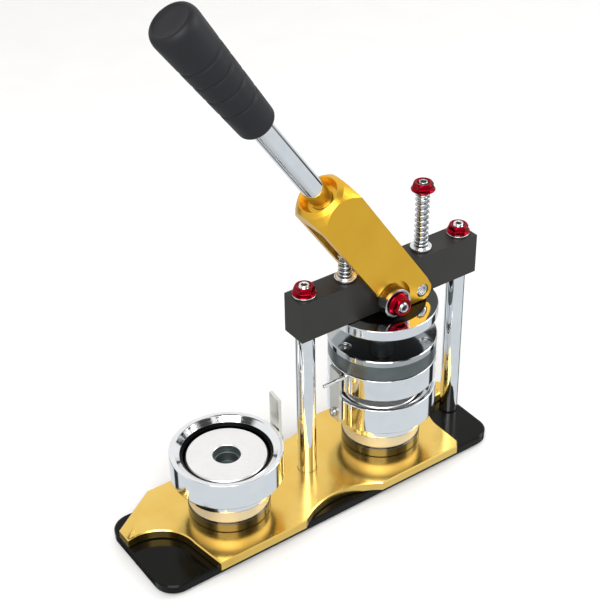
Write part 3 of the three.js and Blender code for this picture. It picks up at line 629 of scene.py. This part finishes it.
# Cup with a foot band, its wall inside the collar's skirt and its post under the anvil.
def dieBodyShape(side):
    low, high = boxOf(side + "_die_body")
    middle = centreOf(side + "_anvil")
    foot, bottom = (high[1] - low[1]) / 2, low[2]
    wall, wallTop = foot - 0.45, bottom + die["wallHeight"]
    footTop, floor, pocketLow = bottom + dieLook["footTop"], bottom + die["floor"], high[2] - die["pocketDepth"]
    corners = [(0, bottom), (foot, bottom), (foot, footTop - 1.2), (foot - 1.0, footTop - 0.6),
               (foot - 1.0, footTop), (wall, footTop + 0.6), (wall, wallTop), (die["bodyBore"], wallTop),
               (die["bodyBore"], floor), (die["post"], floor), (die["post"], high[2]),
               (die["pocket"], high[2]), (die["pocket"], pocketLow), (0, pocketLow)]
    turned(side + "DieBody", softened(corners, 0.4), (middle[0], 0, 0), "swivel", finish[side + "Die"],
           [side + "_die_body"], steps=160)


# A screw with its head's top at the origin's height plus headHeight, a hexagon socket and a domed edge.
def socketScrew(name, origin, axis, head, length, shank, headHeight, socket, body, replaced):
    profile = [dict(r=0, z=-length), dict(r=shank - 0.3, z=-length), dict(r=shank, z=-length + 0.4),
               dict(r=shank, z=0), dict(r=head - 0.15, z=0), dict(r=head, z=0.15),
               dict(r=head, z=headHeight * 0.55), dict(r=head - 0.12, z=headHeight * 0.8),
               dict(r=head - 0.4, z=headHeight), dict(r=socket + 0.45, z=headHeight),
               dict(r=socket, z=headHeight - 0.25, hexagon=1.0),
               dict(r=socket, z=headHeight * 0.35, hexagon=1.0), dict(r=0, z=headHeight * 0.25)]
    return turned(name, profile, origin, body, finish["screwSteel"], replaced, axis, 72)


def tabScrew(side, towards):
    low, high = boxOf(side + "_tab_screw")
    middle = (low + high) / 2
    headHeight = tabScrewSize["head"]
    seat = high[0] - headHeight if towards > 0 else low[0] + headHeight
    socketScrew(side + "TabScrew", (seat, middle[1], middle[2]), (towards, 0, 0), (high[1] - low[1]) / 2,
                high[0] - low[0] - headHeight, tabScrewSize["shank"], headHeight, tabScrewSize["socket"],
                side + "_collar_set", [side + "_tab_screw"])


for side, towards in (("left", 1), ("right", -1)):
    collarShape(side)
    anvilShape(side)
    dieBodyShape(side)
    tabScrew(side, towards)
    finished(side + "_tab", side + "Tab", side + "_collar_set", finish["tabSteel"], 0.35)
    springLow, springHigh = boxOf(side + "_die_spring")
    springCoil(side + "DieSpring", centreOf(side + "_die_body"), springLow[2], springHigh[2], die["coil"],
               die["wire"], die["coilTurns"], "swivel", finish["wire"], [side + "_die_spring"])
print("dies made")

head = {"wire": 0.78, "coil": 4.47, "coilTurns": 12, "travel": 19, "seatLip": 0.5, "guideThread": 0.45,
        "ringBore": 31.0, "punchBore": 24.3, "punchFloor": 8.7}
pressAxis = (centreOf("press_shaft")[0], 0, 0)


# A plain cylinder on the press axis, filling its node's box.
def pressCylinder(node, name, material, edge, steps):
    low, high = boxOf(node)
    radius = (high[1] - low[1]) / 2
    corners = [(0, low[2]), (radius, low[2]), (radius, high[2]), (0, high[2])]
    turned(name, softened(corners, edge), pressAxis, "press_head", material, [node],
           steps=steps)


def upperRing():
    low, high = boxOf("upper_die_ring")
    outer, inner = (high[1] - low[1]) / 2, head["ringBore"]
    corners = [(inner, low[2]), (outer, low[2]), (outer, high[2]), (inner, high[2])]
    turned("upperDieRing", ringProfile(corners, 0.8), pressAxis, "upper_ring", finish["chrome"],
           ["upper_die_ring"], steps=192, closed=True)


def upperPunch():
    low, high = boxOf("upper_die_punch")
    radius, bore, floor = (high[1] - low[1]) / 2, head["punchBore"], low[2] + head["punchFloor"]
    corners = [(0, low[2]), (radius, low[2]), (radius, high[2]), (bore, high[2]), (bore, floor), (0, floor)]
    turned("upperDiePunch", softened(corners, 0.8), pressAxis, "press_head", finish["headSteel"],
           ["upper_die_punch"], steps=160)


def latchPin():
    low, high = boxOf("latch_pin")
    radius, length, middle = (high[1] - low[1]) / 2, high[0] - low[0], (low + high) / 2
    corners = [(0, 0), (radius, 0), (radius, length), (0, length)]
    turned("latchPin", softened(corners, 0.5), (high[0], middle[1], middle[2]), "upper_ring",
           finish["chrome"], ["latch_pin"], axis=(-1, 0, 0), steps=48)


def guideRod(side):
    low, high = boxOf(side + "_guide_rod")
    nutLow = boxOf(side + "_guide_nut")[0]
    radius, middle = (high[0] - low[0]) / 2, (low + high) / 2
    profile = [dict(r=0, z=low[2]), dict(r=radius, z=low[2])]
    profile += straight(radius, low[2] + 1, nutLow[2] - 9, 20)
    profile += studEnd(radius, nutLow[2] - 8, high[2], dict(pillar, thread=head["guideThread"]))
    turned(side + "GuideRod", profile, (middle[0], 0, 0), "press_head", finish["screwSteel"],
           [side + "_guide_rod"], steps=96)
    socketShadeLining(side + "GuideSocketShade", (middle[0], 0, high[2]), (0, 0, 1), pillar["socket"], "press_head")


def springSeat(side):
    low, high = boxOf(side + "_spring_seat")
    radius, middle = (high[0] - low[0]) / 2, (low + high) / 2
    corners = [(4.3, low[2]), (radius, low[2]), (radius, high[2] - 0.9), (radius - 1.6, high[2] - 0.9),
               (radius - 1.6, high[2]), (4.3, high[2])]
    turned(side + "SpringSeat", ringProfile(corners, head["seatLip"]), (middle[0], 0, 0), "base",
           finish["chrome"], [side + "_spring_seat"], steps=96, closed=True)


pressCylinder("press_disc", "pressDisc", finish["discSteel"], 0.8, 160)
pressCylinder("press_shaft", "pressShaft", finish["chrome"], 0.3, 96)
upperRing()
upperPunch()
latchPin()
finished("upper_flange", "upperFlange", "press_head", finish["flangeSteel"])
finished("upper_die_body", "upperDieBody", "press_head", finish["bandSteel"], 0.5)
for number in (1, 2, 3):
    finished(f"flange_screw_{number}", f"flangeScrew{number}", "press_head", finish["screwSteel"],
             0.15)
for side in ("left", "right"):
    guideRod(side)
    springSeat(side)
    flangeNut(side + "_guide_nut", side + "GuideNut", "press_head")
    springLow, springHigh = boxOf(side + "_return_spring")
    springCoil(side + "ReturnSpring", centreOf(side + "_guide_rod"), springLow[2], springHigh[2],
               head["coil"], head["wire"], head["coilTurns"], "base", finish["wire"],
               [side + "_return_spring"])
print("moving head made")

# lengths along the lever are counted from its foot
lever = {
    "rodRadius": 7.5, "rodLow": 75.2, "rodHigh": 200, "rodCentre": 137.5, "gripLow": 165.5, "gripHigh": 264,
    "mouthRound": 4.5, "waist": 13.1, "barrel": 16.3, "full": 256, "rimRound": 3.9, "rimStart": 1.2,
    "gripBore": 7.8, "grooves": (191.5, 206, 220, 233.5), "grooved": (188.5, 237), "grooveDepth": 0.75,
    "grooveWidth": 1.1, "forkEdge": 0.3, "pinHead": 3.2, "pinShank": 3.9, "pinSocket": 2.2,
}
rodMiddle = centreOf("lever_rod")
leverFoot = rodMiddle - leverAxis * lever["rodCentre"]


def leverRod():
    corners = [(0, lever["rodLow"]), (lever["rodRadius"], lever["rodLow"]), (lever["rodRadius"],
                                                                             lever["rodHigh"]),
               (0, lever["rodHigh"])]
    turned("leverRod", softened(corners, 0.6), leverFoot, "lever", finish["chrome"],
           ["lever_rod"], leverAxis, 96)


# The barrel's radius grows evenly from the waist to the full width, less a rounded groove, depth times
# exp(-(distance / width)^2), at each groove. The mouth and the far rim are quarter ellipses, and the far
# end is a flat disc set back a little inside its rim.
def leverGrip():
    low, high, barrel, waist = lever["gripLow"], lever["gripHigh"], lever["barrel"], lever["waist"]
    mouthEnd, full = low + lever["mouthRound"], lever["full"]
    grooveLow, grooveHigh = lever["grooved"]
    along = np.concatenate([np.linspace(mouthEnd, grooveLow - 0.5, 14), np.linspace(grooveLow, grooveHigh,
                                                                                    150),
                            np.linspace(grooveHigh + 1, full, 10)])
    radius = waist + (barrel - waist) * (along - mouthEnd) / (full - mouthEnd)
    for groove in lever["grooves"]:
        radius = radius - lever["grooveDepth"] * np.exp(-((along - groove) / lever["grooveWidth"]) ** 2)
    turn = np.linspace(0, np.pi / 2, 12)
    mouth = np.stack([waist - 4 + 4 * np.sin(turn), low + lever["mouthRound"] * (1 - np.cos(turn))], 1)[:-1]
    rimRound, rimLow = lever["rimRound"], full + lever["rimStart"]
    rim = np.stack([barrel - rimRound + rimRound * np.cos(turn), rimLow + (high - rimLow) * np.sin(turn)], 1)
    face = np.array([[barrel - 4.4, high - 0.05], [barrel - 4.8, high - 0.5], [barrel - 5.4, high - 0.7],
                     [6, high - 0.7], [0, high - 0.7]])
    boreEnd, boreRadius = lever["rodHigh"] + 0.4, lever["gripBore"]
    bore = np.array([[0, boreEnd], [boreRadius, boreEnd], [boreRadius, low + 0.2], [boreRadius + 0.6, low]])
    profile = np.vstack([bore, mouth, np.stack([radius, along], 1), rim, face])
    turned("leverGrip", profile, leverFoot, "lever", finish["grip"], ["lever_grip"],
           leverAxis, 128)


roller = {"bore": 4.2, "innerRace": 6.0, "sealInner": 6.5, "sealOuter": 9.1, "sealDepth": 0.45, "edge": 0.35}


# A ball bearing turned about its axle: inner race, a seal set back in the face, outer race.
def rollerShape(side):
    low, high = boxOf(side + "_roller")
    radius, middle = (high[2] - low[2]) / 2, (low + high) / 2
    width = high[1] - low[1]
    deep = roller["sealDepth"]
    near = [(roller["bore"], 0), (roller["innerRace"], 0), (roller["sealInner"], deep),
            (roller["sealOuter"], deep), (roller["sealOuter"] + 0.4, 0), (radius, 0)]
    far = [(r, width - z) for r, z in reversed(near)]
    turned(side + "Roller", ringProfile(near + far, roller["edge"]), (middle[0], low[1], middle[2]),
           side + "_roller", finish["screwSteel"], [side + "_roller"], axis=(0, 1, 0),
           steps=128, closed=True)


def rollerBolt(side, sign):
    low, high = boxOf(side + "_roller_bolt")
    middle = (low + high) / 2
    length = high[1] - low[1]
    start = low[1] if sign > 0 else high[1]
    profile = [dict(r=0, z=0), dict(r=4 - 0.2, z=0)]
    profile += straight(3.9, 0.2, length - 8, 20)
    profile += studEnd(3.95, length - 7.8, length, pillar)
    turned(side + "RollerBolt", profile, (middle[0], start, middle[2]), "lever", finish["screwSteel"],
           [side + "_roller_bolt"], axis=(0, sign, 0), steps=96)
    end = (middle[0], start + sign * length, middle[2])
    socketShadeLining(side + "BoltSocketShade", end, (0, sign, 0), pillar["socket"], "lever")


def pivotPin():
    low, high = boxOf("lever_pivot_pin")
    middle = (low + high) / 2
    headHeight = lever["pinHead"]
    socketScrew("leverPivotPin", (middle[0], low[1] + headHeight, middle[2]), (0, -1, 0),
                (high[0] - low[0]) / 2, high[1] - low[1] - headHeight, lever["pinShank"], headHeight,
                lever["pinSocket"], "lever", ["lever_pivot_pin"])


finished("lever_fork", "leverFork", "lever", finish["leverGold"], lever["forkEdge"],
         crease=12)
leverRod()
leverGrip()
pivotPin()
for side, sign in (("front", -1), ("back", 1)):
    rollerShape(side)
    rollerBolt(side, sign)
    flangeNut(side + "_roller_nut", side + "RollerNut", "lever", axis=(0, sign, 0))
print("lever made")

# screws out of sight keep their CAD shape
for node in ("left_die_screw", "right_die_screw", "left_pillar_screw", "right_pillar_screw"):
    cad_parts[node].data.materials.clear()
    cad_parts[node].data.materials.append(finish["screwSteel"])

studio = {
    "floor": "#F4F3F1", "floorPale": "#FAF9F8", "floorSize": 6.0,
    "farHeading": 55.6,  # the heading of the room's far side, in degrees from X
    "above": "#FFFFFF", "below": "#E2E8EC", "bright": 1.0,
    # upright black cards below the horizon: heading from the far side, half width, and how much light is left
    "cards": ((58, 7, 0.03), (-52, 8, 0.03)),
    # dark ceiling: middle, half width and soft edge of its window in height, depth, width and the bright gaps
    "overheadUp": (1.0, 0.32, 0.08), "overheadFar": (-0.15, 0.3, 0.1), "overheadSide": (0.0, 0.6, 0.1),
    "overheadGaps": (0.3, 0.04, 0.03), "overheadLeft": 0.06,
    "keyPlace": (-0.9, -1.0, 1.3), "keySize": (1.3, 1.3), "keyPower": 26,
    "fillPlace": (1.2, -0.6, 0.9), "fillSize": (0.6, 1.2), "fillPower": 8,
}


# A level square grid a hair under the feet. Polished metal mirrors the room's own lower half instead of it.
def floorSurface():
    half = studio["floorSize"] / 2
    u, v = np.meshgrid(np.linspace(-half, half, 9), np.linspace(-half, half, 9), indexing="ij")
    points = np.stack([u, v, 0 * u - 0.0002], -1).reshape(-1, 3)
    mesh = bpy.data.meshes.new("floor")
    mesh.from_pydata(points.tolist(), [], gridFaces(9, 9, False, False).tolist())
    floor = bpy.data.objects.new("floor", mesh)
    bpy.context.scene.collection.objects.link(floor)
    floor.visible_glossy = False
    material, tree, surface, place = startMaterial("paintedFloor", Roughness=0.6)
    mottle = addNode(tree, "ShaderNodeTexNoise", {"Vector": place, "Scale": 1 / (60 * mm), "Detail": 2.0})
    addNode(tree, "ShaderNodeMix", {"Factor": mottle.outputs["Fac"], "A": toLinear(studio["floor"]),
                                    "B": toLinear(studio["floorPale"])}, {"Result": surface["Base Color"]},
            data_type="RGBA")
    mesh.materials.append(material)


# 1 where a value is within half of the middle, falling to 0 over the next soft, or any other pair of values.
def within(tree, value, middle, half, soft, inside=1.0, outside=0.0):
    away = addNode(tree, "ShaderNodeMath", {0: value, 1: middle}, operation="SUBTRACT")
    apart = addNode(tree, "ShaderNodeMath", {0: away.outputs["Value"]}, operation="ABSOLUTE")
    return addNode(tree, "ShaderNodeMapRange", {
        "Value": apart.outputs["Value"], "From Min": half, "From Max": half + soft, "To Min": inside,
        "To Max": outside}).outputs["Result"]


# A pale room, a little cooler below the horizon, with upright black cards low down for polished metal to
# mirror, and a dark ceiling over the near side with two bright gaps in it.
def studioWorld():
    world = bpy.data.worlds.new("studioRoom")
    bpy.context.scene.world = world
    world.use_nodes = True
    tree = world.node_tree
    background = tree.nodes["Background"]
    direction = addNode(tree, "ShaderNodeTexCoord").outputs["Generated"]
    level = addNode(tree, "ShaderNodeMapping", {"Vector": direction,
                                                "Rotation": (0, 0, -np.radians(studio["farHeading"]))})
    parts = addNode(tree, "ShaderNodeSeparateXYZ", {"Vector": level.outputs["Vector"]})
    far, side, up = (parts.outputs[key] for key in "XYZ")
    heading = addNode(tree, "ShaderNodeMath", {0: side, 1: far}, operation="ARCTAN2").outputs["Value"]
    plain = addNode(tree, "ShaderNodeMapRange", {"Value": up, "From Min": -1.0, "From Max": -0.75,
                                                 "To Min": 0.75,
                                                 "To Max": studio["bright"]}).outputs["Result"]
    carded = plain
    for middle, half, left in studio["cards"]:
        card = within(tree, heading, np.radians(middle), np.radians(half), np.radians(half / 3), left, 1.0)
        carded = addNode(tree, "ShaderNodeMath", {0: carded, 1: card}, operation="MULTIPLY").outputs["Value"]
    lowDown = addNode(tree, "ShaderNodeMapRange", {"Value": up, "From Min": -0.15, "From Max": 0.05,
                                                   "To Min": 1.0, "To Max": 0.0}).outputs["Result"]
    walls = addNode(tree, "ShaderNodeMix", {"Factor": lowDown, "A": plain, "B": carded}).outputs["Result"]
    aside = addNode(tree, "ShaderNodeMath", {0: side}, operation="ABSOLUTE").outputs["Value"]
    overhead = within(tree, up, *studio["overheadUp"])
    for window in (within(tree, far, *studio["overheadFar"]), within(tree, side, *studio["overheadSide"]),
                   within(tree, aside, *studio["overheadGaps"], 0.0, 1.0)):
        overhead = addNode(tree, "ShaderNodeMath", {0: overhead, 1: window},
                           operation="MULTIPLY").outputs["Value"]
    ceiling = addNode(tree, "ShaderNodeMapRange", {"Value": overhead, "To Min": 1.0,
                                                   "To Max": studio["overheadLeft"]})
    addNode(tree, "ShaderNodeMath", {0: walls, 1: ceiling.outputs["Result"]},
            {"Value": background.inputs["Strength"]}, operation="MULTIPLY")
    horizon = addNode(tree, "ShaderNodeMapRange", {"Value": up, "From Min": -0.1, "From Max": 0.1})
    addNode(tree, "ShaderNodeMix", {"Factor": horizon.outputs["Result"], "A": toLinear(studio["below"]),
                                    "B": toLinear(studio["above"])}, {"Result": background.inputs["Color"]},
            data_type="RGBA")


def softbox(name, place, target, size, power):
    light = bpy.data.lights.new(name, "AREA")
    light.shape, light.size, light.size_y, light.energy = "RECTANGLE", size[0], size[1], power
    holder = bpy.data.objects.new(name, light)
    bpy.context.scene.collection.objects.link(holder)
    holder.location = place
    holder.rotation_euler = (Vector(target) - Vector(place)).to_track_quat("-Z", "Y").to_euler()


# angles in degrees, place in metres, lens and sensor in millimetres
view = {"azimuth": -34.42, "elevation": 33.87, "roll": -1.13, "place": (-0.43156, -0.62465, 0.67518),
        "lens": 81.26, "sensor": 36}


def addCamera():
    a, e, roll = (np.radians(view[key]) for key in ("azimuth", "elevation", "roll"))
    right = np.array([np.cos(a), np.sin(a), 0])
    forward = np.array([-np.sin(a) * np.cos(e), np.cos(a) * np.cos(e), -np.sin(e)])
    up = np.cross(right, forward)
    turnedRight = np.cos(roll) * right + np.sin(roll) * up
    turnedUp = -np.sin(roll) * right + np.cos(roll) * up
    data = bpy.data.cameras.new("benchView")
    data.lens, data.sensor_width = view["lens"], view["sensor"]
    data.clip_start, data.clip_end = 0.01, 50
    camera = bpy.data.objects.new("benchView", data)
    matrix = np.eye(4)
    matrix[:3, :3] = np.stack([turnedRight, turnedUp, -forward], 1)
    matrix[:3, 3] = view["place"]
    camera.matrix_world = Matrix(matrix.tolist())
    bpy.context.scene.collection.objects.link(camera)
    bpy.context.scene.camera = camera


floorSurface()
studioWorld()
pressMiddle = (0, 0, 0.12)
softbox("keyLight", studio["keyPlace"], pressMiddle, studio["keySize"], studio["keyPower"])
softbox("fillLight", studio["fillPlace"], pressMiddle, studio["fillSize"], studio["fillPower"])
addCamera()
bpy.context.scene.view_settings.view_transform = "Standard"
print("studio made")
